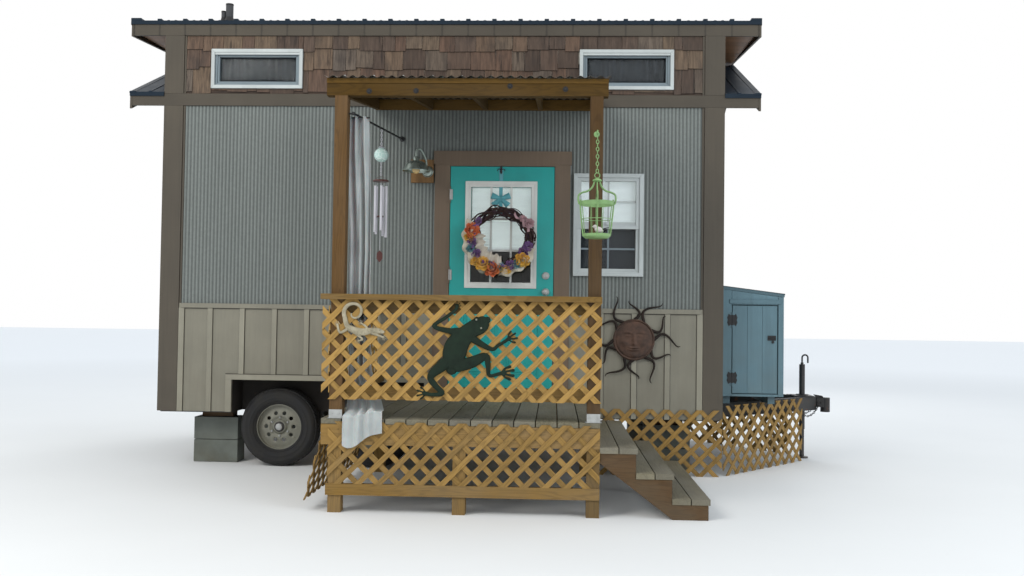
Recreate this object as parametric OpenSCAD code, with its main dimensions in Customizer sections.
// Tiny house on a twin-axle trailer, with a covered porch, side steps and lattice skirts.
// X runs along the house towards the hitch, Y from the porch to the back, Z up from the ground.
// Sizes below are set in a house frame: X = 0 at mid length, Y = 0 on the front trim boards.

/* [House] */
// Length of the house over its corner boards
body_l = 4920; // [4600:10:5600]
// Width of the house over its corner boards
body_w = 2588; // [2400:10:2700]
// Thickness of the framed walls
wall_t = 100; // [80:5:140]
// Thickness of the trim boards on the walls
trim_t = 22; // [18:1:30]
// Width of the corner boards
corner_w = 160; // [120:5:200]
// Height of the wall cladding's lower edge
clad_z = 479; // [440:1:500]
// Height of the wainscot boards' top
wainscot_z = 1384; // [1200:2:1500]
// Height of the lower fascia's top, where the shakes start
eave_z = 3277; // [3100:1:3300]
// Height of the shake band
shake_h = 516; // [450:1:600]
// Height of the fascia boards
fascia_h = 107; // [70:1:120]
// Distance between wainscot battens
batten_pitch = 285; // [200:5:400]
// Width of a wainscot batten
batten_w = 45; // [30:1:60]

/* [Roof] */
// Overhang of the roof past each end wall's trim
rake_out = 308; // [150:1:400]
// Slope of the low roof over the loft
loft_slope = 2.5; // [1.5:0.1:4]
// Slope of the gable wings outside the end walls
wing_slope = 24.2; // [22:0.1:24.6]
// Thickness of the roof deck
deck_t = 90; // [60:5:120]
// Thickness of the roof metal with its ribs
metal_t = 20; // [12:1:25]
// Distance between the ribs of the roof metal
rib_pitch = 228.6; // [150:0.1:320]

/* [Door and windows] */
// Left edge of the front door, where its hinges are
door_x = 98; // [60:1:140]
// Width of the front door
door_w = 900; // [760:5:920]
// Height of the front door
door_h = 1998; // [1900:1:2010]
// Gap around the doors
door_gap = 5; // [5:1:8]
// Thickness of the front door
door_t = 45; // [35:1:50]
// Width of the front window
window_w = 604; // [450:2:700]
// Height of the front window
window_h = 889; // [700:1:1000]
// Height of the front window's sill
window_z = 1703; // [1600:1:1900]
// Distance of the front window's centre from mid length
window_x = 1469; // [1440:1:1650]
// Width of the loft windows
loft_window_w = 814; // [600:2:900]
// Height of the loft windows
loft_window_h = 349; // [250:1:400]

/* [Trailer] */
// Height of the trailer frame's top
frame_z = 600; // [580:1:610]
// Depth of the trailer frame's rails
rail_h = 130; // [100:1:140]
// Thickness of the floor
floor_t = 40; // [30:1:50]
// Outer diameter of the tyres
tyre_d = 690; // [680:2:730]
// Width of the tyres
tyre_w = 215; // [180:1:225]
// Diameter of the wheel rims over their flanges
rim_d = 424; // [380:2:430]
// Distance between the axles
axle_pitch = 840; // [800:5:860]
// Place of the rear axle, from mid length
axle_x = -1400; // [-1410:5:-1390]
// Reach of the hitch from mid length
hitch_x = 3679; // [3600:1:3800]
// Travel of the tongue jack
jack_travel = 250; // [150:5:280]

/* [Porch] */
// Left edge of the porch deck
porch_x = -570; // [-600:5:-540]
// Width of the porch deck
porch_w = 1900; // [1800:10:1960]
// Depth of the porch from the trim boards to the post faces
porch_d = 1818; // [1600:2:2000]
// Height of the porch deck's top
porch_z = 638; // [630:1:640]
// Size of a porch post
post_w = 89; // [80:1:100]
// Thickness of sawn boards
board_t = 38; // [30:1:45]
// Height of the porch beam's underside
beam_z = 2853; // [2800:1:2870]
// Height of the handrail cap's top
cap_z = 1487; // [1400:1:1560]
// Run of one step
step_run = 243; // [220:1:280]
// Width of a lattice strip
strip_w = 37; // [25:1:45]
// Thickness of a lattice strip
strip_t = 6; // [4:1:8]
// Distance between lattice strips, across their length
strip_pitch = 100; // [85:1:130]

/* [Closet] */
// Length of the closet on the tongue
closet_l = 574; // [520:2:600]
// Width of the closet
closet_w = 1988; // [1700:2:2100]
// Thickness of the closet's walls
closet_t = 40; // [30:1:50]
// Width of the closet door
closet_door_w = 394; // [340:2:410]

/* [Hidden] */
$fn = 48;
eps = 1;
// Room under the roof sheets and over the end walls
seat = 0.3;
mid_w = body_w / 2;
half_l = body_l / 2;
wall_x = half_l - trim_t;
wall_y = trim_t;
inner_y = wall_y + wall_t;
floor_z = frame_z + floor_t;
fascia_low = eave_z - fascia_h;
loft_z = eave_z + shake_h;
roof_x = half_l + rake_out;
rake_t = 20;
wing_t = 70;
pan_t = 4;
// Lower face of the roof deck over the front wall
deck_z = loft_z + 37;
chair_h = 41;
chair_z = wainscot_z + chair_h;
batten_t = 10;
panel_t = trim_t - batten_t;
siding_t = 10;
chair_out = 8;

opening_x = door_x - door_gap;
opening_w = door_w + 2 * door_gap;
door_z = floor_z + door_gap;
door_top = door_z + door_h;
opening_top = door_top + door_gap;
jamb_t = 25;
head_jamb = 35;
casing_w = 134;
casing_t = 38;
casing_y = trim_t - casing_t;
casing_head_z = opening_top + 15;
casing_head_h = 116;
casing_ear = 10;
door_y = casing_y - 4;
hinge_y = door_y - 6;
front_hinges = [door_z + 200, door_z + door_h / 2 + 11, door_top - 290];
hinge_x = door_x - 2;
hinge_r = 5;
// Length of a hinge knuckle on a door, and of the fixed knuckles above and below it
knuckle_h = 90;
fixed_h = 26;

// The glazed opening of the front door, set out from the door's edges
lite_side = 131;
lite_sill = 943;
lite_head = 128;
lite_x = door_x + lite_side;
lite_w = door_w - 2 * lite_side - 15;
lite_z = door_z + lite_sill;
lite_h = door_h - lite_sill - lite_head;
lite_frame = 50;

well_x0 = axle_x - 400;
well_x1 = axle_x + axle_pitch + 450;
well_top = 790;
well_d = 300;
well_t = 12;
well_trim = 54;
well_head = 47;
// Room around a tongue rail where it passes through the end wainscot
tongue_room = 5;

window_t = 50;
sash_w = 66;
loft_sash = 82;
loft_win_z = eave_z + 46;
loft_win_x0 = -2041;
loft_win_x1 = 1205;
glass_t = 6;
glass_y = trim_t + 8;
window_y = -12;
meet_rail = 60;

frame_y = 330;
// Cross ties ahead of the wheels, and the room between a tie and a wheel well
ties = 6;
tie_room = 40;
frame_w = 60;
frame_low = frame_z - rail_h;
edge_w = 50;
// Width of the weld between the two tongue rails
weld_gap = 0.4;
tyre_r = tyre_d / 2;
tyre_y = 170;
hub_r = 22;
hub_gap = 0.3;
axle_r = 38;
pier_l = 400;
pier_w = 200;
pier_h = 406;
pier_x = 2020;
pad_h = frame_low - pier_h;
pad_w = 140;

post_x0 = porch_x + 55;
post_x1 = porch_x + porch_w - 90;
porch_front = -porch_d;
beam_h = 120;
beam_t = 76;
joist_h = 140;
deck_board = 140;
deck_boards = 13;
lattice_t = 2 * strip_t;
lattice_y = porch_front - lattice_t;
cap_w = 140;
rail_low = 770;
lattice_low = 768;
lattice_x0 = porch_x;
lattice_l = 1905;
skirt_low = 197;
skirt_top = 618;
foot_rail_z = 120;
porch_slope = 8.05;
sheet_t = 18;
sheet_over = 30;
rafter_h = 89;
// Curtain rod, from beside the left post up to the wall
rod_r = 8;
rod_front = [post_x0 + 124, porch_front, 2730];
rod_wall = [post_x0 + 178, 0, 2883];

step_rise = 166;
steps = 3;
tread_d = 255;
tread_gap = 7;

jack_x = hitch_x - 225;
jack_r = 27.5;
jack_wall = 4.5;
jack_top = 913;
jack_low = jack_travel + 30;
leg_r = jack_r - jack_wall - 0.3;

closet_x = half_l;
closet_y = mid_w - closet_w / 2;
closet_z = 667;
closet_top = 1650;
closet_fall = 72;
closet_door_x = closet_x + 131;
closet_door_z = 690;
closet_door_h = 775;
closet_door_t = 20;
closet_pin_x = closet_door_x - 2;
closet_pin_y = closet_y - 10;
closet_hinges = [closet_door_z + 95, closet_door_z + closet_door_h - 169];

lantern_y = porch_front - 157;
lantern_r = 133;
low_x = -roof_x;
high_x = hitch_x + 45;
low_y = lantern_y - lantern_r;
high_y = body_w - window_y;
mid_x = (low_x + high_x) / 2;
mid_y = (low_y + high_y) / 2;

// Shared placing and shape helpers
module in_frame() {
    translate([-mid_x, -mid_y, 0]) children();
}

module to_back() {
    translate([0, body_w, 0]) mirror([0, 1, 0]) children();
}

module front_and_back() {
    children();
    to_back() children();
}

module both_ends() {
    children();
    mirror([1, 0, 0]) children();
}

// A box from its lowest corner to its highest corner
module block(low, high) {
    translate(low) cube(high - low);
}

// An outline in Y and Z, drawn out along X
module along_x(x0, x1) {
    translate([x0, 0, 0]) rotate([90, 0, 90]) linear_extrude(x1 - x0) children();
}

// An outline in X and Z, drawn out along Y
module along_y(y0, y1) {
    translate([0, y1, 0]) rotate([90, 0, 0]) linear_extrude(y1 - y0) children();
}

// Height of a roof plane above its eave, at a distance from the front
function rise(y, slope) = (mid_w - abs(y - mid_w)) * tan(slope);

// Trailer
module trailer_rails() {
    color("#3a3c3e") in_frame() front_and_back() {
        block([-wall_x, frame_y, frame_low], [wall_x, frame_y + frame_w, frame_z]);
        block([-wall_x, wall_y, frame_low], [well_x0 - well_t, wall_y + edge_w, frame_z]);
        block([well_x1 + well_t, wall_y, frame_low], [wall_x, wall_y + edge_w, frame_z]);
    }
}

// Cross ties, each in three lengths between the rails
module trailer_ties() {
    bay_x = well_x1 + tie_room;
    tie_low = frame_low + 20;
    inner = frame_y + frame_w;
    tie_xs = concat([-wall_x, well_x0 - tie_room - frame_w], [for (i = [0:ties - 1])
        bay_x + i * (wall_x - frame_w - bay_x) / (ties - 1)]);
    color("#3a3c3e") in_frame() for (x = tie_xs) {
        front_and_back() block([x, wall_y + edge_w, tie_low], [x + frame_w, frame_y, frame_z]);
        block([x, inner, tie_low], [x + frame_w, body_w - inner, frame_z]);
    }
}

// The two rails of the tongue, from the side rails to the coupler
module tongue_rails() {
    seam_y = mid_w - weld_gap / 2;
    tip_y = mid_w - 30;
    color("#3a3c3e") in_frame() front_and_back() {
        translate([0, 0, frame_low]) linear_extrude(rail_h) {
            polygon([
                [wall_x, frame_y], [wall_x, frame_y + frame_w],
                [hitch_x - 140, seam_y], [hitch_x - 90, seam_y], [hitch_x - 90, tip_y]
            ]);
        }
    }
}

module hitch_coupler() {
    ball_r = 29.4;
    color("#4a4440") in_frame() translate([hitch_x, mid_w, 0]) difference() {
        union() {
            block([-90, -40, 500], [0, 40, 590]);
            translate([0, 0, 452]) cylinder(r = 45, h = 138);
        }
        translate([0, 0, 500]) sphere(r = ball_r);
        translate([0, 0, 440]) cylinder(r = ball_r, h = 60);
    }
}

module axles() {
    spring_l = 640;
    leaf_t = 10;
    spindle_y = tyre_y - 60;
    color("#2f3133") in_frame() for (x = [axle_x, axle_x + axle_pitch]) {
        translate([x, frame_y - 20, tyre_r]) rotate([-90, 0, 0]) {
            cylinder(r = axle_r, h = body_w - 2 * (frame_y - 20));
        }
        front_and_back() {
            translate([x, spindle_y, tyre_r]) rotate([-90, 0, 0]) {
                cylinder(r = hub_r, h = frame_y - spindle_y);
            }
            for (i = [0:2]) {
                leaf_l = spring_l - 180 * i;
                leaf_z = tyre_r + axle_r - leaf_t * (i - 1);
                block([x - leaf_l / 2, frame_y, leaf_z], [x + leaf_l / 2, frame_y + frame_w, leaf_z + leaf_t]);
            }
            for (s = [-1, 1]) {
                hang_x = x + s * (spring_l / 2 - 20);
                block([hang_x - 20, frame_y, tyre_r + axle_r + 15], [hang_x + 20, frame_y + frame_w, frame_low]);
            }
        }
    }
}

module jack_tube() {
    plate_l = 180;
    plate_w = 220;
    color("#2c2c2e") in_frame() translate([jack_x, mid_w, 0]) difference() {
        union() {
            translate([0, 0, jack_low]) cylinder(r = jack_r, h = jack_top - jack_low);
            block([-plate_l / 2, -plate_w / 2, frame_z], [plate_l / 2, plate_w / 2, frame_z + 12]);
            translate([0, 0, frame_z + 12 - eps]) cylinder(r = jack_r + 30, h = 10);
        }
        translate([0, 0, jack_low - eps]) cylinder(r = jack_r - jack_wall, h = jack_top - jack_low - 20);
    }
}

module jack_leg() {
    foot_t = 12;
    color("#8b8d8f") in_frame() translate([jack_x, mid_w, 0]) {
        cylinder(r = 60, h = foot_t);
        cylinder(r = leg_r, h = jack_top - jack_travel - 40);
    }
}

// A rod bent over like a cane, on a collar that turns on top of the tube
module jack_crank() {
    rod_r = 8;
    bend_r = 28;
    bend_z = jack_top + 65;
    drop = 45;
    collar_h = 18;
    color("#2c2c2e") in_frame() translate([jack_x, mid_w, 0]) {
        translate([0, 0, jack_top + hub_gap]) cylinder(r = rod_r + 6, h = collar_h);
        translate([0, 0, jack_top + collar_h]) cylinder(r = rod_r, h = bend_z - jack_top - collar_h);
        translate([bend_r, 0, bend_z]) intersection() {
            rotate([90, 0, 0]) rotate_extrude() translate([bend_r, 0]) circle(r = rod_r);
            block([-2 * bend_r, -2 * rod_r, 0], [2 * bend_r, 2 * rod_r, 2 * bend_r]);
        }
        translate([2 * bend_r, 0, bend_z - drop]) {
            cylinder(r = rod_r, h = drop);
            sphere(r = rod_r);
        }
    }
}

// One tyre about its own axle line
module tyre_shape() {
    bead_r = rim_d / 2 - 14;
    half_w = tyre_w / 2;
    color("#1d1d1e") rotate([90, 0, 0]) rotate_extrude($fn = 72) {
        polygon([
            [bead_r, -half_w + 30], [bead_r + 30, -half_w + 8], [bead_r + 80, -half_w],
            [tyre_r - 50, -half_w + 6], [tyre_r - 14, -half_w + 22], [tyre_r, -half_w + 45],
            [tyre_r, half_w - 45], [tyre_r - 14, half_w - 22], [tyre_r - 50, half_w - 6],
            [bead_r + 80, half_w], [bead_r + 30, half_w - 8], [bead_r, half_w - 30]
        ]);
    }
}

// One steel rim about its own axle line, its dished face towards -Y
module rim_shape() {
    bead_r = rim_d / 2 - 14;
    half_w = tyre_w / 2 - 30;
    shell = 5;
    hole_r = 17;
    hole_ring = 122;
    holes = 10;
    color("#cfcab8") difference() {
        rotate([90, 0, 0]) rotate_extrude($fn = 72) {
            polygon([
                [bead_r, -half_w], [bead_r, half_w], [bead_r - shell, half_w],
                [bead_r - shell, 30], [95, 52], [70, 40], [hub_r + 30, 62], [hub_r + hub_gap, 62],
                [hub_r + hub_gap, -20], [hub_r + 14, -20], [hub_r + 22, 30], [60, 28],
                [95, 40], [bead_r - shell, 18], [bead_r - shell, -half_w]
            ]);
        }
        for (i = [0:holes - 1]) {
            rotate([0, i * 360 / holes, 0]) translate([hole_ring, 0, 0]) rotate([90, 0, 0]) {
                cylinder(r = hole_r, h = tyre_w, $fn = 24);
            }
        }
    }
}

module wheel_place(x, back) {
    side = back ? body_w - tyre_y : tyre_y;
    in_frame() translate([x, side, tyre_r]) mirror([0, back ? 1 : 0, 0]) children();
}

module tyre_front_rear() {
    wheel_place(axle_x, false) tyre_shape();
}

module rim_front_rear() {
    wheel_place(axle_x, false) rim_shape();
}

module tyre_front_fore() {
    wheel_place(axle_x + axle_pitch, false) tyre_shape();
}

module rim_front_fore() {
    wheel_place(axle_x + axle_pitch, false) rim_shape();
}

module tyre_back_rear() {
    wheel_place(axle_x, true) tyre_shape();
}

module rim_back_rear() {
    wheel_place(axle_x, true) rim_shape();
}

module tyre_back_fore() {
    wheel_place(axle_x + axle_pitch, true) tyre_shape();
}

module rim_back_fore() {
    wheel_place(axle_x + axle_pitch, true) rim_shape();
}

// Four stacks of hollow blocks with a timber pad under the side rails
module pier_blocks() {
    pad_in = (pier_w - frame_w) / 2;
    block_y = frame_y + frame_w / 2 - pier_w / 2;
    color("#a9a6a0") in_frame() front_and_back() for (x = [-pier_x, pier_x]) {
        block([x - pier_l / 2, block_y, 0], [x + pier_l / 2, block_y + pier_w, pier_h]);
        block([x - pad_w, block_y + pad_in / 2, pier_h], [x + pad_w, block_y + pier_w - pad_in / 2, frame_low]);
    }
}

module wheel_wells() {
    color("#33312f") in_frame() front_and_back() difference() {
        block([well_x0 - well_t, wall_y, frame_low], [well_x1 + well_t, wall_y + well_d, well_top + well_t]);
        block([well_x0, wall_y - eps, frame_low - eps], [well_x1, wall_y + well_d - well_t, well_top]);
    }
}

// House body
module floor() {
    color("#9c7d56") in_frame() difference() {
        block([-wall_x, wall_y, frame_z], [wall_x, body_w - wall_y, floor_z]);
        front_and_back() {
            block([well_x0 - well_t, 0, frame_z - eps], [well_x1 + well_t, wall_y + well_d, floor_z + eps]);
        }
    }
}

module well_cut() {
    block([well_x0 - well_t, 0, floor_z - eps], [well_x1 + well_t, wall_y + well_d, well_top + well_t]);
}

// Outline of a window opening, drawn through the walls
module window_cut(x, w, z, h) {
    block([x - w / 2, -100, z], [x + w / 2, 200, z + h]);
}

module front_windows_cut() {
    window_cut(window_x, window_w, window_z, window_h);
    loft_windows_cut();
}

module loft_windows_cut() {
    for (x = [loft_win_x0, loft_win_x1]) {
        window_cut(x + loft_window_w / 2, loft_window_w, loft_win_z, loft_window_h);
    }
}

module back_windows_cut() {
    to_back() {
        for (s = [-1, 1]) {
            window_cut(s * window_x, window_w, window_z, window_h);
        }
        loft_windows_cut();
    }
}

module front_wall_left() {
    color("#d9cdb8") in_frame() difference() {
        block([-wall_x, wall_y, floor_z], [opening_x - jamb_t, inner_y, deck_z]);
        well_cut();
        loft_windows_cut();
    }
}

module front_wall_right() {
    color("#d9cdb8") in_frame() difference() {
        block([opening_x + opening_w + jamb_t, wall_y, floor_z], [wall_x, inner_y, deck_z]);
        front_windows_cut();
    }
}

module front_wall_over_door() {
    color("#d9cdb8") in_frame() {
        x0 = opening_x - jamb_t;
        block([x0, wall_y, opening_top + head_jamb], [x0 + opening_w + 2 * jamb_t, inner_y, deck_z]);
    }
}

module back_wall() {
    color("#d9cdb8") in_frame() difference() {
        block([-wall_x, body_w - inner_y, floor_z], [wall_x, body_w - wall_y, deck_z]);
        to_back() well_cut();
        back_windows_cut();
    }
}

module end_wall_shape() {
    y0 = inner_y;
    y1 = body_w - inner_y;
    top = deck_z - seat;
    along_x(wall_x - wall_t, wall_x) polygon([
        [y0, floor_z], [y1, floor_z], [y1, top + rise(inner_y - wall_y, loft_slope)],
        [mid_w, top + rise(mid_w - wall_y, loft_slope)], [y0, top + rise(inner_y - wall_y, loft_slope)]
    ]);
}

module left_end_wall() {
    color("#d9cdb8") in_frame() mirror([1, 0, 0]) end_wall_shape();
}

module right_end_wall() {
    color("#d9cdb8") in_frame() end_wall_shape();
}

// Cladding
module door_cut() {
    side = opening_x - casing_w;
    block([side, -100, floor_z - 60], [side + opening_w + 2 * casing_w, wall_y + eps, casing_head_z + eps]);
}

module casing_head_cut() {
    side = opening_x - casing_w - casing_ear;
    block([side, -100, casing_head_z], [side + opening_w + 2 * (casing_w + casing_ear), wall_y + eps,
        casing_head_z + casing_head_h]);
}

module wall_siding() {
    side_x = half_l - corner_w - 32;
    end_y0 = corner_w;
    wing_low = eave_z - wing_t - 2;
    color("#8f979b") in_frame() {
        difference() {
            block([-side_x, wall_y - siding_t, chair_z], [side_x, wall_y, fascia_low]);
            door_cut();
            casing_head_cut();
            front_windows_cut();
        }
        difference() {
            to_back() block([-side_x, wall_y - siding_t, chair_z], [side_x, wall_y, fascia_low]);
            back_windows_cut();
        }
        both_ends() along_x(wall_x, wall_x + siding_t) polygon([
            [end_y0, chair_z], [body_w - end_y0, chair_z],
            [body_w - end_y0, wing_low + rise(end_y0, wing_slope)],
            [mid_w, wing_low + rise(mid_w, wing_slope)],
            [end_y0, wing_low + rise(end_y0, wing_slope)]
        ]);
    }
}

module well_trim_cut() {
    block([well_x0 - well_trim, -50, 0], [well_x1 + well_trim, wall_y + eps, well_top - 30 + well_head]);
}

// Board and batten panels with a chair rail on top
module wainscot_face(length) {
    first = -2005;
    count = floor((length / 2 - first) / batten_pitch);
    block([-length / 2, wall_y - panel_t, clad_z], [length / 2, wall_y, wainscot_z]);
    for (i = [0:count]) {
        x = first + i * batten_pitch;
        if (x < length / 2 - batten_w) {
            block([x - batten_w / 2, 0, clad_z], [x + batten_w / 2, wall_y, wainscot_z]);
        }
    }
    block([-length / 2, -chair_out, wainscot_z], [length / 2, wall_y, chair_z]);
}

module wainscot() {
    side_l = body_l - 2 * (corner_w + 32);
    end_l = body_w - 2 * corner_w;
    color("#b9ab95") in_frame() {
        difference() {
            wainscot_face(side_l);
            door_cut();
            well_trim_cut();
        }
        difference() {
            to_back() wainscot_face(side_l);
            to_back() well_trim_cut();
        }
        mirror([1, 0, 0]) end_wainscot(end_l);
        difference() {
            end_wainscot(end_l);
            front_and_back() tongue_cut();
        }
        front_and_back() well_boards();
    }
}

// Room for a tongue rail, which slants inwards as it passes
module tongue_cut() {
    block([wall_x - eps, frame_y - tongue_room, clad_z - eps],
        [half_l + eps, frame_y + frame_w + 4 * tongue_room, frame_z + tongue_room]);
}

// Wainscot of an end wall, set out from its middle
module end_wainscot(length) {
    count = floor(length / 2 / batten_pitch);
    block([wall_x, mid_w - length / 2, clad_z], [wall_x + panel_t, mid_w + length / 2, wainscot_z]);
    for (i = [-count:count]) {
        y = mid_w + i * batten_pitch;
        block([wall_x, y - batten_w / 2, clad_z], [half_l, y + batten_w / 2, wainscot_z]);
    }
    block([wall_x, mid_w - length / 2, wainscot_z], [half_l, mid_w + length / 2, chair_z]);
}

// Boards around a wheel well
module well_boards() {
    top = well_top - 30;
    difference() {
        block([well_x0 - well_trim, -4, clad_z], [well_x1 + well_trim, wall_y, top + well_head]);
        block([well_x0, -50, clad_z - eps], [well_x1, wall_y + eps, top]);
    }
}

module shake_bands() {
    side_x = half_l - corner_w - 32;
    end_y0 = corner_w;
    color("#6f4a33") in_frame() {
        difference() {
            block([-side_x, wall_y - 18, eave_z], [side_x, wall_y, loft_z]);
            loft_windows_cut();
        }
        difference() {
            to_back() block([-side_x, wall_y - 18, eave_z], [side_x, wall_y, loft_z]);
            back_windows_cut();
        }
        both_ends() front_and_back() along_x(wall_x, wall_x + 18) polygon([
            [end_y0, eave_z + rise(end_y0, wing_slope) + 30], [end_y0, deck_z],
            [mid_w - 110, deck_z + rise(mid_w - 110 - wall_y, loft_slope)],
            [mid_w - 110, eave_z + rise(mid_w - 110, wing_slope) + 30]
        ]);
    }
}

// An L of two boards at each corner of the house
module corner_shape(z0, z1) {
    block([half_l - corner_w - 32, 0, z0], [half_l, wall_y, z1]);
    block([wall_x, wall_y, z0], [half_l, corner_w, z1]);
}

module corner_boards() {
    color("#6b625b") in_frame() both_ends() front_and_back() {
        corner_shape(clad_z, fascia_low);
        block([half_l - corner_w - 32, 0, eave_z], [half_l, wall_y, loft_z]);
        along_x(wall_x, half_l) polygon([
            [wall_y, eave_z + rise(wall_y, wing_slope) + 30], [wall_y, loft_z],
            [corner_w, loft_z], [corner_w, eave_z + rise(corner_w, wing_slope) + 30]
        ]);
    }
}

module fascia_boards() {
    color("#5f5852") in_frame() front_and_back() {
        x1 = roof_x - rake_t - 1;
        block([-x1, 0, fascia_low], [x1, wall_y, eave_z]);
        block([-x1, 0, loft_z], [x1, wall_y, loft_z + fascia_h + 5]);
        both_ends() {
            along_x(roof_x - rake_t, roof_x) polygon([
                [0, fascia_low - 30], [60, fascia_low - 30 + 60 * tan(wing_slope)],
                [mid_w - 1, fascia_low + 10 + rise(mid_w, wing_slope) - 50],
                [mid_w - 1, eave_z + rise(mid_w - 1, wing_slope)], [0, eave_z]
            ]);
            along_x(roof_x - rake_t, roof_x) polygon([
                [0, loft_z - 8], [mid_w - 1, loft_z + 40 + rise(mid_w, loft_slope)],
                [mid_w - 1, deck_z + deck_t + rise(mid_w - 1 - wall_y, loft_slope) - 1],
                [wall_y, deck_z + deck_t - 1], [0, deck_z + deck_t - 1]
            ]);
        }
    }
}

// Roof
module roof_deck() {
    x1 = roof_x - rake_t - 1;
    color("#6e5a43") in_frame() {
        along_x(-x1, x1) polygon([
            [wall_y, deck_z], [mid_w, deck_z + rise(mid_w - wall_y, loft_slope)],
            [body_w - wall_y, deck_z], [body_w - wall_y, deck_z + deck_t],
            [mid_w, deck_z + deck_t + rise(mid_w - wall_y, loft_slope)], [wall_y, deck_z + deck_t]
        ]);
        both_ends() front_and_back() along_x(half_l, x1) polygon([
            [wall_y, eave_z - wing_t + rise(wall_y, wing_slope)],
            [mid_w - 1, eave_z - wing_t + rise(mid_w - 1, wing_slope)],
            [mid_w - 1, eave_z + rise(mid_w - 1, wing_slope)],
            [wall_y, eave_z + rise(wall_y, wing_slope)]
        ]);
    }
}

module roof_metal() {
    edge = 10;
    rib_w = 38;
    pan = pan_t;
    rib_h = metal_t - pan_t;
    ribs = floor((roof_x - rib_w / 2) / rib_pitch);
    top = deck_z + deck_t + seat;
    ridge = rise(mid_w - wall_y, loft_slope);
    color("#23303a") in_frame() {
        front_and_back() {
            along_x(-roof_x, roof_x) polygon([
                [-edge, top - 30], [-edge, top + pan], [wall_y, top + pan], [mid_w, top + pan + ridge],
                [mid_w, top + ridge], [wall_y, top], [0, top], [0, top - 30]
            ]);
            for (i = [-ribs:ribs]) {
                x = i * rib_pitch;
                along_x(x - rib_w / 2, x + rib_w / 2) polygon([
                    [-edge, top + pan], [-edge, top + metal_t], [wall_y, top + metal_t],
                    [mid_w, top + metal_t + ridge], [mid_w, top + pan + ridge], [wall_y, top + pan]
                ]);
            }
        }
        both_ends() front_and_back() {
            along_x(half_l, roof_x) polygon([
                [-edge, eave_z - 24], [-edge, eave_z + 12],
                [mid_w - 10, eave_z + 14 + rise(mid_w - 10, wing_slope)],
                [mid_w - 10, eave_z + seat + rise(mid_w - 10, wing_slope)], [0, eave_z + seat],
                [0, eave_z - 24]
            ]);
        }
    }
}

module roof_vent() {
    vent_y = 120;
    tall_x = -1931;
    short_x = -1988;
    tall_r = 33;
    short_r = 21;
    tall_top = loft_z + 317;
    short_top = loft_z + 257;
    base = deck_z + deck_t + pan_t + 2 * seat + rise(vent_y + tall_r - wall_y, loft_slope);
    color("#4b4e52") in_frame() {
        translate([tall_x, vent_y, base]) cylinder(r = tall_r, h = tall_top - base);
        translate([short_x, vent_y + tall_r - short_r, base]) cylinder(r = short_r, h = short_top - base);
    }
}

// The fixed knuckles of a hinge, above and below the moving one, each with its leaf
module fixed_knuckles(x, y, z) {
    for (k = [z - fixed_h - hub_gap, z + knuckle_h + hub_gap]) {
        translate([x, y, k]) {
            cylinder(r = hinge_r, h = fixed_h);
            children();
        }
    }
}

// Front door
module door_casing() {
    side = opening_x - casing_w;
    stop_y = door_y + door_t + door_gap + 2;
    color("#5d4c40") in_frame() {
        difference() {
            union() {
                block([side, casing_y, floor_z - 60], [side + opening_w + 2 * casing_w, wall_y, casing_head_z]);
                block([opening_x - jamb_t, wall_y, floor_z],
                    [opening_x + opening_w + jamb_t, inner_y, opening_top + head_jamb]);
            }
            block([opening_x, casing_y - eps, floor_z], [opening_x + opening_w, inner_y + eps, opening_top]);
        }
        block([side - casing_ear, casing_y - 4, casing_head_z],
            [side + opening_w + 2 * casing_w + casing_ear, wall_y, casing_head_z + casing_head_h]);
        for (z = front_hinges) {
            fixed_knuckles(hinge_x, hinge_y, z) block([-24, 0, 0], [0, casing_y - hinge_y + eps, fixed_h]);
        }
        difference() {
            block([opening_x, stop_y, floor_z], [opening_x + opening_w, stop_y + 40, opening_top]);
            block([opening_x + 12, stop_y - eps, floor_z - eps],
                [opening_x + opening_w - 12, stop_y + 41, opening_top - 12]);
        }
    }
}

module front_door() {
    color("#2fa79f") in_frame() {
        difference() {
            block([door_x, door_y, door_z], [door_x + door_w, door_y + door_t, door_top]);
            block([lite_x + lite_frame, door_y - eps, lite_z + lite_frame],
                [lite_x + lite_w - lite_frame, door_y + door_t + eps, lite_z + lite_h - lite_frame]);
        }
        for (z = front_hinges) {
            translate([hinge_x, hinge_y, z]) cylinder(r = hinge_r, h = knuckle_h);
            block([hinge_x, hinge_y, z], [door_x + 20, door_y + eps, z + knuckle_h]);
        }
        knob_x = door_x + door_w - 65;
        for (z = [lite_z - 28, lite_z + 112]) {
            translate([knob_x, door_y + eps, z]) rotate([90, 0, 0]) cylinder(r = 27, h = 30);
        }
    }
}

module door_glass() {
    pane_y = door_y + door_t / 2 - glass_t / 2;
    color("#c8d4da", 0.5) in_frame() {
        block([lite_x + lite_frame, pane_y, lite_z + lite_frame],
            [lite_x + lite_w - lite_frame, pane_y + glass_t, lite_z + lite_h - lite_frame]);
    }
}

module wreath() {
    ring_r = 245;
    rope_r = 68;
    ribbon_w = 44;
    wreath_z = 2003;
    wreath_x = lite_x + lite_w / 2;
    color("#5c3f5e") in_frame() {
        translate([wreath_x, door_y - rope_r - hub_gap, wreath_z]) rotate([90, 0, 0]) {
            rotate_extrude() translate([ring_r, 0]) circle(r = rope_r);
        }
        block([wreath_x - ribbon_w / 2, door_y - 4, wreath_z + ring_r],
            [wreath_x + ribbon_w / 2, door_y - hub_gap, door_top]);
        block([wreath_x - ribbon_w / 2, door_y - rope_r, wreath_z + ring_r],
            [wreath_x + ribbon_w / 2, door_y - 4 + eps, wreath_z + ring_r + 40]);
    }
}

// Windows
module sash(x, w, z, h, face_w) {
    difference() {
        block([x - w / 2, window_y, z], [x + w / 2, window_y + window_t + 20, z + h]);
        block([x - w / 2 + face_w, -100, z + face_w], [x + w / 2 - face_w, 200, z + h - face_w]);
    }
}

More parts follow.
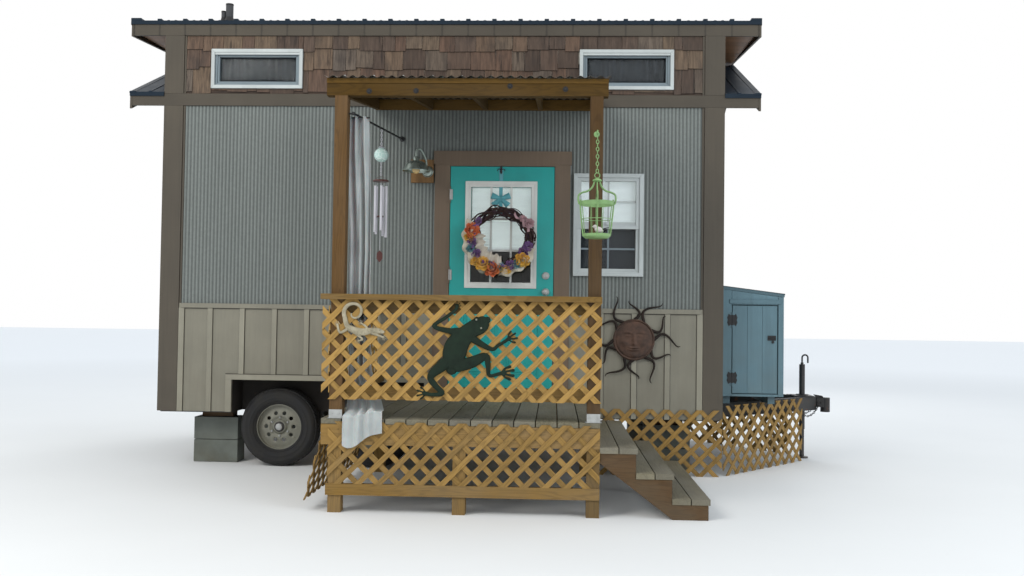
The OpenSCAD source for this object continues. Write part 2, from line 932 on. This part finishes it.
module hung_window(x) {
    sash(x, window_w, window_z, window_h, sash_w);
    mid_z = window_z + window_h / 2 - 5;
    block([x - window_w / 2 + sash_w - eps, window_y + 10, mid_z - meet_rail / 2],
        [x + window_w / 2 - sash_w + eps, window_y + 50, mid_z + meet_rail / 2]);
}

module loft_windows() {
    for (x = [loft_win_x0, loft_win_x1]) {
        sash(x + loft_window_w / 2, loft_window_w, loft_win_z, loft_window_h, loft_sash);
    }
}

module window_frames() {
    color("#eceff0") in_frame() {
        hung_window(window_x);
        loft_windows();
        to_back() {
            hung_window(window_x);
            hung_window(-window_x);
            loft_windows();
        }
    }
}

module pane(x, w, z, h) {
    block([x - w / 2, glass_y, z], [x + w / 2, glass_y + glass_t, z + h]);
}

module hung_panes(x) {
    pane_h = window_h / 2 - sash_w - meet_rail / 2 - 5;
    pane_w = window_w - 2 * sash_w;
    pane(x, pane_w, window_z + sash_w, pane_h);
    pane(x, pane_w, window_z + window_h - sash_w - pane_h - 10, pane_h + 10);
}

module loft_panes() {
    for (x = [loft_win_x0, loft_win_x1]) {
        pane(x + loft_window_w / 2, loft_window_w - 2 * loft_sash, loft_win_z + loft_sash,
            loft_window_h - 2 * loft_sash);
    }
}

module window_glass() {
    color("#b9c7cf", 0.5) in_frame() {
        hung_panes(window_x);
        loft_panes();
        to_back() {
            hung_panes(window_x);
            hung_panes(-window_x);
            loft_panes();
        }
    }
}

// Porch
module porch_frame() {
    x0 = porch_x;
    x1 = porch_x + porch_w;
    top = porch_z - board_t;
    low = top - joist_h;
    joists = 4;
    gap_y = (porch_d - 2 * board_t - 22) / joists;
    color("#a9894f") in_frame() {
        for (x = [x0, x1 - board_t]) {
            block([x, porch_front, low], [x + board_t, -22, top]);
        }
        for (i = [0:joists]) {
            y = porch_front + i * gap_y;
            block([x0, y, low], [x1, y + board_t, top]);
        }
        for (x = [post_x0, post_x1]) {
            for (y = [porch_front, -22 - post_w]) {
                block([x, y, 0], [x + post_w, y + post_w, top]);
            }
        }
        block([x0 + porch_w / 2 - post_w / 2, porch_front, 0], [x0 + porch_w / 2 + post_w / 2,
            porch_front + post_w, low + eps]);
        block([x0 + 40, porch_front - lattice_t, foot_rail_z], [x1, porch_front + board_t - lattice_t, skirt_low]);
    }
}

module porch_decking() {
    gap = (porch_w - deck_boards * deck_board) / (deck_boards - 1);
    color("#8a7a66") in_frame() for (i = [0:deck_boards - 1]) {
        x = porch_x + i * (deck_board + gap);
        block([x, porch_front, porch_z - board_t], [x + deck_board, -22, porch_z]);
    }
}

module porch_posts() {
    color("#a08048") in_frame() for (x = [post_x0, post_x1]) {
        block([x, porch_front, porch_z], [x + post_w, porch_front + post_w, beam_z]);
    }
}

// Handrail of the porch: a cap, two rails and the same on the left side
module porch_rails() {
    cap_t = board_t;
    rail_w = 89;
    cap_y = porch_front - 44;
    back_y = porch_front + 28;
    side_x = post_x0 + 20;
    side_cap_w = 130;
    side_cap_x = post_x0 + post_w + 3;
    wall_end = -chair_out - 1;
    color("#a9894f") in_frame() {
        difference() {
            union() {
                block([porch_x - 8, cap_y, cap_z - cap_t], [porch_x + porch_w + 3, cap_y + cap_w, cap_z]);
                block([side_cap_x - side_cap_w, cap_y + 10, cap_z - cap_t], [side_cap_x, wall_end, cap_z]);
            }
            for (x = [post_x0, post_x1]) {
                block([x, porch_front, cap_z - cap_t - eps], [x + post_w, porch_front + post_w, cap_z + eps]);
            }
        }
        for (z = [rail_low, cap_z - cap_t - rail_w]) {
            block([post_x0 + post_w, back_y, z], [post_x1, back_y + board_t, z + rail_w]);
            block([side_x, porch_front + post_w, z], [side_x + board_t, wall_end, z + rail_w]);
        }
    }
}

// Length of a 45 degree strip inside a panel, from where it meets the panel's left edge
function strip_run(c, w, h) = (min(w, h - c) - max(0, -c)) * sqrt(2);

// One layer of 45 degree strips, without those too short to cross another
module strip_layer(w, h) {
    reach = ceil((w + h) / strip_pitch);
    intersection() {
        square([w, h]);
        for (i = [-reach:reach]) {
            c = (i + 0.5) * strip_pitch * sqrt(2);
            if (strip_run(c, w, h) > 1.7 * strip_pitch) {
                translate([0, c]) rotate(45) translate([-w - h, -strip_w / 2]) square([2 * (w + h), strip_w]);
            }
        }
    }
}

// A diamond lattice of two layers of strips in X and Z, standing on Z = 0, its front at Y = 0
module lattice(w, h) {
    translate([0, strip_t, 0]) rotate([90, 0, 0]) linear_extrude(strip_t) strip_layer(w, h);
    translate([0, 2 * strip_t, h]) rotate([90, 0, 0]) linear_extrude(strip_t) {
        mirror([0, 1]) strip_layer(w, h);
    }
}

module rail_lattice() {
    panel_h = cap_z - board_t - lattice_low;
    side_l = porch_d - chair_out - 6;
    color("#b8964f") in_frame() {
        translate([lattice_x0, lattice_y, lattice_low]) lattice(lattice_l, panel_h);
        translate([post_x0 - lattice_t, -chair_out - 4, lattice_low]) rotate([0, 0, -90]) {
            lattice(side_l, panel_h);
        }
    }
}

module porch_skirts() {
    lean = 15;
    side_h = 420;
    color("#a8853f") in_frame() {
        translate([porch_x + 50, lattice_y, skirt_low]) lattice(porch_w - 50, skirt_top - skirt_low);
        translate([porch_x, -30, porch_z - board_t - joist_h + 20]) rotate([0, lean, 0]) {
            translate([-lattice_t, 0, -side_h]) rotate([0, 0, -90]) lattice(porch_d - 40, side_h);
        }
    }
}

// Height of the underside of the porch roof sheet
function sheet_low(y) = beam_z + beam_h + (y - porch_front) * tan(porch_slope);

module porch_roof_frame() {
    rafters = 5;
    x0 = porch_x - 3;
    span = porch_w + 36;
    color("#a9894f") in_frame() {
        block([x0, porch_front, beam_z], [x0 + span, porch_front + beam_t, beam_z + beam_h]);
        block([x0, -board_t - seat, sheet_low(-board_t - seat) - rafter_h],
            [x0 + span, -seat, sheet_low(-board_t - seat) - seat]);
        for (i = [0:rafters - 1]) {
            x = x0 + i * (span - board_t) / (rafters - 1);
            y1 = porch_front + beam_t - 2;
            y2 = -board_t + eps;
            along_x(x, x + board_t) polygon([
                [y1, sheet_low(y1) - rafter_h], [y2, sheet_low(y2) - rafter_h], [y2, sheet_low(y2) - seat],
                [y1, sheet_low(y1) - seat]
            ]);
        }
    }
}

module porch_roof_sheet() {
    y0 = porch_front - sheet_over;
    y1 = -1;
    color("#6d5a48") in_frame() along_x(porch_x - 17, porch_x + porch_w + 47) polygon([
        [y0, sheet_low(y0)], [y1, sheet_low(y1)], [y1, sheet_low(y1) + sheet_t], [y0, sheet_low(y0) + sheet_t]
    ]);
}

// Side steps
module step_stringers() {
    x0 = porch_x + porch_w;
    top = porch_z - board_t;
    function under(i) = top - i * step_rise;
    nose = tread_d - step_run;
    color("#8f6f43") in_frame() for (y = [porch_front, porch_front / 2 - 20, -22 - 40 - board_t]) {
        along_y(y, y + board_t) polygon([
            [x0, under(1)], [x0, under(1) - 66], [x0 + 490, 0],
            [x0 + 3 * step_run, 0], [x0 + 3 * step_run, under(3)], [x0 + 2 * step_run, under(3)],
            [x0 + 2 * step_run, under(2)], [x0 + step_run, under(2)], [x0 + step_run, under(1)]
        ]);
    }
}

module step_treads() {
    x0 = porch_x + porch_w;
    tread_board = (tread_d - tread_gap) / 2;
    color("#7d6a55") in_frame() for (i = [1:steps]) {
        for (j = [0, 1]) {
            x = x0 + (i - 1) * step_run + j * (tread_board + tread_gap);
            z = porch_z - i * step_rise;
            block([x + (i > 1 && j == 0 ? 1 : 0), porch_front - 6, z - board_t], [x + tread_board, -60, z]);
        }
    }
}

module ground_skirts() {
    skirt_h = 566;
    tongue_h = 600;
    x0 = 1345;
    panel_l = half_l - x0 - 5;
    start = [half_l + 12, 20];
    span = [hitch_x - 279, mid_w - 234] - start;
    color("#a8906a") in_frame() {
        translate([x0, -lattice_t, 0]) lattice(panel_l, skirt_h);
        front_and_back() translate(start) rotate([0, 0, atan2(span[1], span[0])]) {
            lattice(norm(span), tongue_h);
        }
    }
}

// Closet on the tongue
module closet_box() {
    x0 = closet_x;
    x1 = closet_x + closet_l;
    y0 = closet_y;
    y1 = closet_y + closet_w;
    fall = closet_fall;
    roof_t = 30;
    color("#7f8b94") in_frame() {
        difference() {
            along_y(y0, y1) polygon([
                [x0, closet_z], [x1, closet_z], [x1, closet_top - fall - roof_t], [x0, closet_top - roof_t]
            ]);
            along_y(y0 + closet_t, y1 - closet_t) polygon([
                [x0 + closet_t, closet_z + closet_t], [x1 - closet_t, closet_z + closet_t],
                [x1 - closet_t, closet_top + 10], [x0 + closet_t, closet_top + 10]
            ]);
            block([closet_door_x - door_gap, y0 - eps, closet_door_z],
                [closet_door_x + closet_door_w + door_gap, y0 + closet_t + eps,
                closet_door_z + closet_door_h + 2 * door_gap]);
        }
        along_y(y0 - 12, y1 + 12) polygon([
            [x0, closet_top - roof_t], [x1 + 12, closet_top - roof_t - fall], [x1 + 12, closet_top - fall],
            [x0, closet_top]
        ]);
        for (x = [x0 + 60, x1 - 120]) {
            block([x, y0 + 40, frame_z], [x + 60, y1 - 40, closet_z]);
        }
        for (z = closet_hinges) {
            fixed_knuckles(closet_pin_x, closet_pin_y, z) {
                block([-24, 0, 0], [0, closet_y - closet_pin_y + eps, fixed_h]);
            }
        }
    }
}

module closet_door() {
    z0 = closet_door_z + door_gap;
    y0 = closet_y - 4;
    color("#84909a") in_frame() {
        block([closet_door_x, y0, z0], [closet_door_x + closet_door_w, y0 + closet_door_t, z0 + closet_door_h]);
        for (z = closet_hinges) {
            translate([closet_pin_x, closet_pin_y, z]) cylinder(r = hinge_r, h = knuckle_h);
            block([closet_pin_x, closet_pin_y, z], [closet_door_x + 60, y0 + eps, z + knuckle_h]);
        }
        block([closet_door_x + closet_door_w - 90, y0 - 14, z0 + 465],
            [closet_door_x + closet_door_w - 10, y0 + eps, z0 + 515]);
    }
}

// A tapered limb between two points of a flat plaque
module limb(p, q, r1, r2) {
    d = q - p;
    // The straight sides lie a little inside the round ends, so that they cross cleanly
    n = 0.95 * [-d[1], d[0]] / norm(d);
    translate(p) circle(r = r1, $fn = 24);
    translate(q) circle(r = r2, $fn = 24);
    polygon([p + n * r1, q + n * r2, q - n * r2, p - n * r1]);
}

// A chain of limbs through a list of points, each point with its radius
module limbs(path) {
    for (i = [0:len(path) - 2]) {
        limb([path[i][0], path[i][1]], [path[i + 1][0], path[i + 1][1]], path[i][2], path[i + 1][2]);
    }
}

// A raised round boss on a plaque in X and Z
module boss(x, z, r, y0, y1) {
    translate([x, y1, z]) rotate([90, 0, 0]) cylinder(r = r, h = y1 - y0);
}

// Ornaments
module frog_plaque() {
    plaque_t = 14;
    raised = 24;
    y0 = lattice_y - plaque_t;
    color("#33443c") in_frame() union() {
        along_y(y0, lattice_y) {
            limbs([[520, 1290, 61], [420, 1240, 62], [350, 1150, 82], [340, 1080, 84], [330, 1020, 66]]);
            limbs([[520, 1290, 60], [555, 1318, 31]]);
            limbs([[360, 1240, 29], [295, 1245, 20], [195, 1275, 15], [270, 1330, 13], [340, 1385, 12],
                [355, 1422, 15]]);
            limbs([[475, 1185, 26], [590, 1125, 15], [635, 1150, 12], [690, 1185, 12], [735, 1220, 14]]);
            limbs([[370, 1005, 39], [465, 1037, 40], [553, 1075, 25], [569, 1008, 18], [580, 944, 13],
                [735, 970, 13]]);
            limbs([[268, 1019, 44], [181, 934, 26], [213, 873, 21], [261, 822, 20], [190, 812, 13],
                [110, 820, 24]]);
        }
        boss(520, 1290, 50, lattice_y - raised, lattice_y);
        boss(350, 1130, 66, lattice_y - raised, lattice_y);
    }
}

module gecko_plaque() {
    plaque_t = 12;
    raised = 20;
    coil_x = -357;
    coil_z = 1357;
    coil_r = 64;
    coil = [for (a = [0:30:360]) [coil_x + min(coil_r, 14 + a / 4) * cos(a + 200),
        coil_z + min(coil_r, 14 + a / 4) * sin(a + 200), 5 + a * 0.028]];
    color("#d8d3c8") in_frame() union() {
        along_y(lattice_y - plaque_t, lattice_y) {
            limbs(coil);
            limbs([[-417, 1335, 15], [-407, 1295, 17], [-393, 1265, 18], [-349, 1240, 24], [-296, 1228, 26],
                [-240, 1237, 22], [-209, 1242, 17], [-178, 1236, 19], [-150, 1230, 11]]);
            limbs([[-388, 1252, 11], [-445, 1223, 10], [-465, 1277, 8]]);
            limbs([[-335, 1214, 10], [-291, 1180, 8], [-317, 1167, 7]]);
            limbs([[-222, 1220, 10], [-173, 1203, 8], [-149, 1193, 7]]);
            limbs([[-257, 1250, 10], [-275, 1271, 8], [-302, 1288, 7]]);
        }
        boss(-300, 1230, 20, lattice_y - raised, lattice_y);
        boss(-182, 1237, 15, lattice_y - raised, lattice_y);
    }
}

module sun_plaque() {
    face_r = 178;
    rays = 12;
    sun_x = 1697;
    sun_z = 1160;
    back = -chair_out;
    color("#5b4238") in_frame() translate([sun_x, back, sun_z]) rotate([90, 0, 0]) {
        cylinder(r = face_r, h = 30, $fn = 64);
        linear_extrude(8) for (i = [0:rays - 1]) {
            turn = i * 360 / rays;
            reach = i % 2 == 0 ? 400 : 340;
            bend = i % 2 == 0 ? 16 : -16;
            p = [face_r * cos(turn), face_r * sin(turn)];
            q = [(face_r + reach) / 2 * cos(turn + bend / 2), (face_r + reach) / 2 * sin(turn + bend / 2)];
            s = [reach * cos(turn - bend / 3), reach * sin(turn - bend / 3)];
            limbs([[p[0], p[1], 20], [q[0], q[1], 12], [s[0], s[1], 5]]);
        }
    }
}

// A galvanised lamp on a wooden block, its shade hollow around a bulb
module barn_light() {
    plate_x = -249;
    plate_w = 196;
    plate_z = casing_head_z - 163;
    plate_h = 201;
    face_y = wall_y - siding_t - 30;
    arm_r = 9;
    base_r = 46;
    base_x = plate_x + 144;
    base_z = plate_z + 95;
    shade_r = 118;
    shade_top = 34;
    shade_h = 85;
    shade_t = 3;
    shade_x = plate_x + 64;
    shade_y = face_y - 150;
    shade_z = plate_z + 77;
    neck_z = shade_z + shade_h;
    arm = [
        [base_x, face_y - 10, base_z], [base_x - 10, face_y - 70, base_z + 100],
        [base_x - 45, face_y - 115, base_z + 170], [shade_x, shade_y, base_z + 180], [shade_x, shade_y, neck_z]
    ];
    color("#9aa3a2") in_frame() {
        block([plate_x, face_y, plate_z], [plate_x + plate_w, wall_y - siding_t, plate_z + plate_h]);
        translate([base_x, face_y + eps, base_z]) rotate([90, 0, 0]) cylinder(r = base_r, h = 26);
        difference() {
            translate([shade_x, shade_y, shade_z]) cylinder(r1 = shade_r, r2 = shade_top, h = shade_h);
            translate([shade_x, shade_y, shade_z - shade_t]) {
                cylinder(r1 = shade_r, r2 = shade_top, h = shade_h);
            }
        }
        translate([shade_x, shade_y, neck_z - 5]) cylinder(r = 22, h = 50);
        for (i = [0:len(arm) - 2]) {
            rod(arm[i], arm[i + 1], arm_r);
            translate(arm[i + 1]) sphere(r = arm_r + 0.2);
        }
    }
}

// A round rod between two points
module rod(p, q, r) {
    d = q - p;
    translate(p) rotate([0, acos(d[2] / norm(d)), atan2(d[1], d[0])]) cylinder(r = r, h = norm(d));
}

// The curtain's rod, with a peg to the post and a flange on the wall
module curtain_rod() {
    peg_y = porch_front + 40;
    peg_r = 6;
    flange_r = 24;
    wall_face = wall_y - siding_t - seat;
    start = rod_at(porch_front + 25);
    end = rod_at(wall_face - 2);
    color("#2c2c2e") in_frame() {
        rod(start, end, rod_r);
        translate([post_x0 + post_w + seat, peg_y, rod_at(peg_y)[2]]) rotate([0, 90, 0]) {
            cylinder(r = peg_r, h = rod_at(peg_y)[0] - post_x0 - post_w - seat);
        }
        translate([end[0], wall_face, end[2]]) rotate([90, 0, 0]) cylinder(r = flange_r, h = 8);
    }
}

// Point on the curtain rod's middle line at a distance from the front trim
function rod_at(y) = rod_wall + (rod_front - rod_wall) * y / porch_front;

module wind_chime() {
    chime_y = -850;
    tubes = 5;
    hang = rod_at(chime_y)[2] - rod_r - 2 * hub_gap;
    disc_z = 2390;
    color("#9fb4b0") in_frame() translate([rod_at(chime_y)[0], chime_y, 0]) {
        translate([0, 0, 2150]) cylinder(r = 3, h = hang - 2150);
        translate([0, 0, 2600]) sphere(r = 58);
        translate([0, 0, disc_z]) cylinder(r = 62, h = 12);
        for (i = [0:tubes - 1]) {
            rotate([0, 0, i * 360 / tubes]) translate([45, 0, 1953 + 13 * i]) {
                cylinder(r = 10, h = disc_z + eps - 1953 - 13 * i);
            }
        }
        translate([0, 0, 2105]) cylinder(r = 27, h = 50);
        translate([0, 0, 1840]) cylinder(r = 3, h = 266);
        translate([-24, -4, 1755]) cube([48, 8, 95]);
    }
}

// A ring of round bar about Z, with its outer radius
module wire_ring(r, z, bar) {
    translate([0, 0, z]) rotate_extrude() translate([r - bar, 0]) circle(r = bar, $fn = 24);
}

// A wire lantern, narrower at its foot, on a chain from a hook in the right post
module lantern() {
    hang_x = post_x1 + post_w / 2;
    bar = 6;
    foot_r = 92;
    foot_z = 1897;
    shoulder_z = foot_z + 223;
    crown_h = 130;
    hook_z = shoulder_z + 476;
    lean = lantern_r - foot_r;
    side_l = norm([lean, shoulder_z - foot_z]);
    color("#6fa85c") in_frame() translate([hang_x, lantern_y, 0]) {
        translate([0, 0, shoulder_z + crown_h]) cylinder(r = 8, h = hook_z - shoulder_z - crown_h);
        translate([0, 0, hook_z]) rotate([-90, 0, 0]) cylinder(r = 8, h = -lantern_y - porch_d - hub_gap);
        translate([0, 0, shoulder_z + crown_h - 15]) cylinder(r = 30, h = 45);
        wire_ring(lantern_r, shoulder_z, bar);
        wire_ring(foot_r, foot_z, bar);
        translate([0, 0, foot_z - 25]) cylinder(r = foot_r - bar, h = 22);
        for (i = [0:3]) {
            rotate([0, 0, i * 90 + 45]) {
                translate([foot_r - bar, 0, foot_z - 8]) rotate([0, asin(lean / side_l), 0]) {
                    cylinder(r = bar - 1, h = side_l + 8);
                }
                translate([0, 0, shoulder_z]) rotate([90, 0, 0]) translate([0, 0, -bar]) {
                    linear_extrude(2 * bar) limbs([
                        [lantern_r - bar, 0, 6], [lantern_r - 22, 45, 6], [60, 75, 6], [30, 95, 6], [12, crown_h, 8]
                    ]);
                }
            }
        }
    }
}

// Curtain tied back beside the left post, its tail out over the deck's edge
module curtain() {
    fold_t = 60;
    fold_w = 165;
    head_w = 140;
    tail_w = 280;
    tail_t = 26;
    hang_y = porch_front + post_w + 15;
    x0 = post_x0 + post_w + 6;
    head_x = x0 - 20;
    top = rod_at(hang_y)[2] - rod_r - 2 * hub_gap;
    front_y = lattice_y - tail_t - hub_gap;
    color("#b9c1c6") in_frame() {
        block([x0, hang_y, porch_z + 4], [x0 + fold_w, hang_y + fold_t, cap_z + 40]);
        block([head_x, hang_y, cap_z + 20], [head_x + head_w, hang_y + fold_t, top]);
        block([x0, front_y, porch_z + 4], [x0 + tail_w, hang_y + fold_t, rail_low - 8]);
        block([x0, front_y, 449], [x0 + tail_w, front_y + tail_t, rail_low - 8]);
    }
}

trailer_rails();
trailer_ties();
tongue_rails();
hitch_coupler();
axles();
jack_tube();
jack_leg();
jack_crank();
tyre_front_rear();
rim_front_rear();
tyre_front_fore();
rim_front_fore();
tyre_back_rear();
rim_back_rear();
tyre_back_fore();
rim_back_fore();
pier_blocks();
wheel_wells();
floor();
front_wall_left();
front_wall_right();
front_wall_over_door();
back_wall();
left_end_wall();
right_end_wall();
wall_siding();
wainscot();
shake_bands();
corner_boards();
fascia_boards();
roof_deck();
roof_metal();
roof_vent();
door_casing();
front_door();
door_glass();
wreath();
window_frames();
window_glass();
porch_frame();
porch_decking();
porch_posts();
porch_rails();
rail_lattice();
porch_roof_frame();
porch_roof_sheet();
porch_skirts();
step_stringers();
step_treads();
ground_skirts();
closet_box();
closet_door();
barn_light();
curtain_rod();
wind_chime();
lantern();
curtain();
frog_plaque();
gecko_plaque();
sun_plaque();
